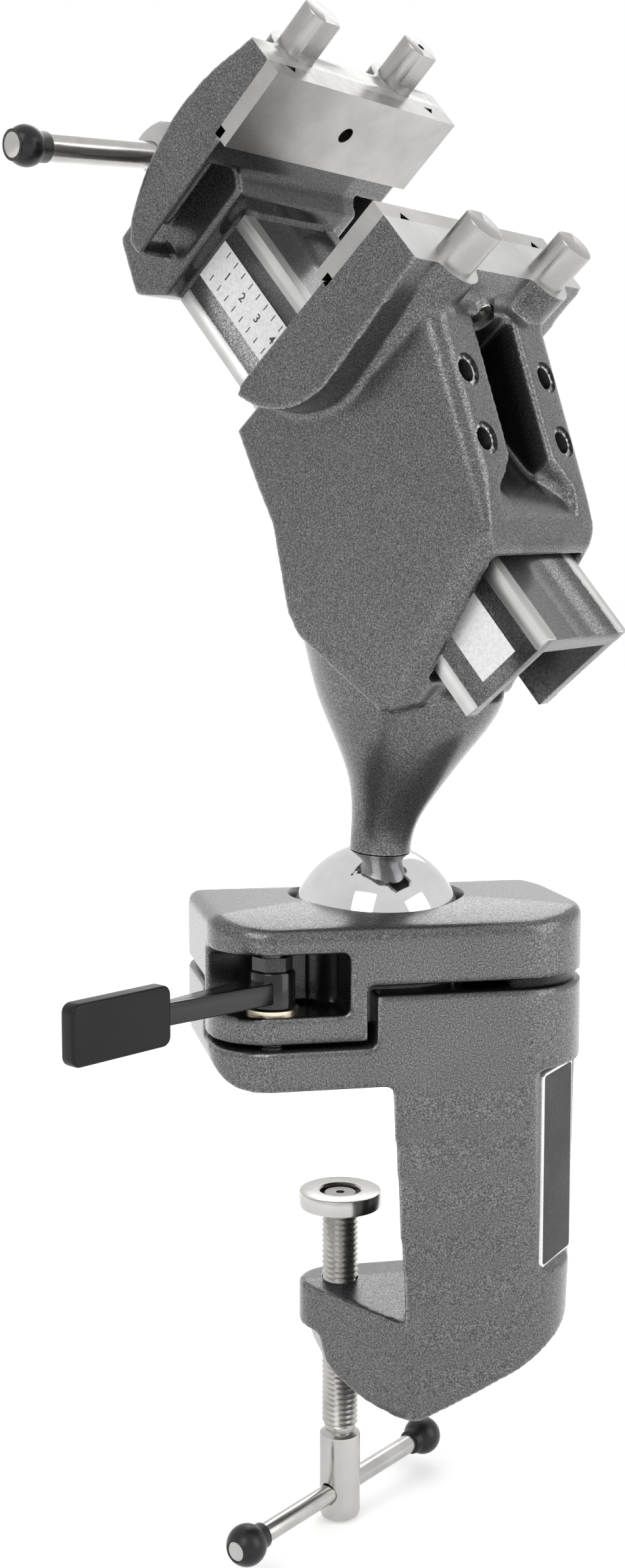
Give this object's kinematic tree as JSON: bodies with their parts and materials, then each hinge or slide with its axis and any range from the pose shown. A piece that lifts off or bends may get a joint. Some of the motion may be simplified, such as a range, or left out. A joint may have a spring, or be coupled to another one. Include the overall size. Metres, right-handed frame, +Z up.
{
  "type": "ball vise with table clamp",
  "caption": "Small bench vise on a lockable ball joint, with a screw-driven sliding jaw, a table clamp below and a lever that locks the ball.",
  "frame": {"origin": "on the ball's upright axis, in the face of the bracket that rests on the table", "axes": "+X from the clamp's open side to its column, +Y to the back, +Z up"},
  "size_m": [0.2009, 0.1948, 0.5371],
  "materials": {
    "hammered_paint": "hammered grey enamel",
    "ground_steel": "ground",
    "nickel_steel": "nickel plated",
    "chrome_plate": "mirror",
    "dark_steel": "oiled, blackened",
    "black_lacquer": "gloss black",
    "black_plastic": "matte black",
    "seat_plastic": "natural",
    "zinc_steel": "yellow zinc",
    "plate_black": "black with a bright rim",
    "label_white": "printed film"
  },
  "bodies": {
    "base": {"clamp_bracket": "hammered_paint", "name_plate": "plate_black", "socket_cap": "hammered_paint", "cap_screws": "dark_steel", "lever_stud": "dark_steel", "lever_washer": "zinc_steel", "lever_lock_nut": "zinc_steel"},
    "lever": {"clamp_lever": "black_lacquer", "lever_grip": "black_plastic"},
    "pressure_foot": {"pressure_plate": "nickel_steel", "pressure_plate_screw": "dark_steel"},
    "spindle": {"clamp_spindle": "dark_steel"},
    "spindle_handle": {"spindle_bar": "nickel_steel", "spindle_bar_knobs": "black_plastic"},
    "seat": {"ball_seat_ring": "seat_plastic"},
    "ball": {"chrome_ball": "chrome_plate", "ball_stud": "dark_steel"},
    "head": {"vise_body": "hammered_paint", "fixed_jaw_plate": "ground_steel", "fixed_plate_screw": "nickel_steel", "gib_strip_near": "ground_steel", "gib_strip_far": "ground_steel", "gib_screws": "dark_steel", "lead_nut": "dark_steel", "lead_nut_screws": "dark_steel"},
    "jaw": {"movable_jaw": "hammered_paint", "movable_jaw_plate": "ground_steel", "movable_plate_screw": "nickel_steel", "scale_strip": "label_white", "blank_label": "label_white"},
    "screw": {"lead_screw": "nickel_steel", "screw_retaining_ring": "nickel_steel"},
    "screw_handle": {"jaw_bar": "nickel_steel", "jaw_bar_knobs": "black_plastic"},
    "fixed_post_near": {"fixed_post_near": "ground_steel"},
    "fixed_post_far": {"fixed_post_far": "ground_steel"},
    "movable_post_near": {"movable_post_near": "ground_steel"},
    "movable_post_far": {"movable_post_far": "ground_steel"}
  },
  "joints": [
    {"name": "lever_turn", "type": "hinge", "parent": "base", "child": "lever", "pos_m": [-0.044, -0.033, 0.034], "axis": [0, 0, 1], "range_deg": [-30, 60]},
    {"name": "foot_lift", "type": "slide", "parent": "base", "child": "pressure_foot", "axis": [0, 0, 1], "range_m": [-0.024, 0.034]},
    {"name": "spindle_turn", "type": "hinge", "parent": "pressure_foot", "child": "spindle", "pos_m": [-0.013, 0, -0.15], "axis": [0, 0, 1], "range_deg": [-4320, 6120]},
    {"name": "spindle_bar_slide", "type": "slide", "parent": "spindle", "child": "spindle_handle", "axis": [0.766, 0.6428, 0], "range_m": [-0.035, 0.035]},
    {"name": "head_swivel", "type": "hinge", "parent": "base", "child": "seat", "pos_m": [0, 0, 0.047], "axis": [0, 0, 1], "continuous": true},
    {"name": "head_tilt", "type": "hinge", "parent": "seat", "child": "ball", "pos_m": [0, 0, 0.047], "axis": [0.9537, 0.3007, 0], "range_deg": [-50, 38]},
    {"name": "head_turn", "type": "hinge", "parent": "ball", "child": "head", "pos_m": [0, 0, 0.047], "axis": [0.0309, -0.098, 0.9947], "continuous": true},
    {"name": "jaw_slide", "type": "slide", "parent": "head", "child": "jaw", "axis": [0.4354, -0.4659, -0.7703], "range_m": [-0.02, 0.0565]},
    {"name": "screw_turn", "type": "hinge", "parent": "jaw", "child": "screw", "pos_m": [-0.03342, 0.02547, 0.27234], "axis": [0.4354, -0.4659, -0.7703], "range_deg": [-1800, 5085]},
    {"name": "jaw_bar_slide", "type": "slide", "parent": "screw", "child": "screw_handle", "axis": [0.8149, 0.5677, 0.1173], "range_m": [-0.047, 0.047]},
    {"name": "fixed_post_near_turn", "type": "hinge", "parent": "head", "child": "fixed_post_near", "pos_m": [0.0084, -0.06665, 0.2712], "axis": [0.4791, -0.6045, 0.6364], "continuous": true},
    {"name": "fixed_post_far_turn", "type": "hinge", "parent": "head", "child": "fixed_post_far", "pos_m": [0.05062, -0.03086, 0.27342], "axis": [0.4791, -0.6045, 0.6364], "continuous": true},
    {"name": "movable_post_near_turn", "type": "hinge", "parent": "jaw", "child": "movable_post_near", "pos_m": [-0.0334, -0.02193, 0.34515], "axis": [0.4791, -0.6045, 0.6364], "continuous": true},
    {"name": "movable_post_far_turn", "type": "hinge", "parent": "jaw", "child": "movable_post_far", "pos_m": [0.00882, 0.01387, 0.34737], "axis": [0.4791, -0.6045, 0.6364], "continuous": true}
  ],
  "couplings": [
    {"joint": "foot_lift", "follows": "spindle_turn", "m_per_rad": 0.00031831},
    {"joint": "jaw_slide", "follows": "screw_turn", "m_per_rad": 0.00063662}
  ]
}
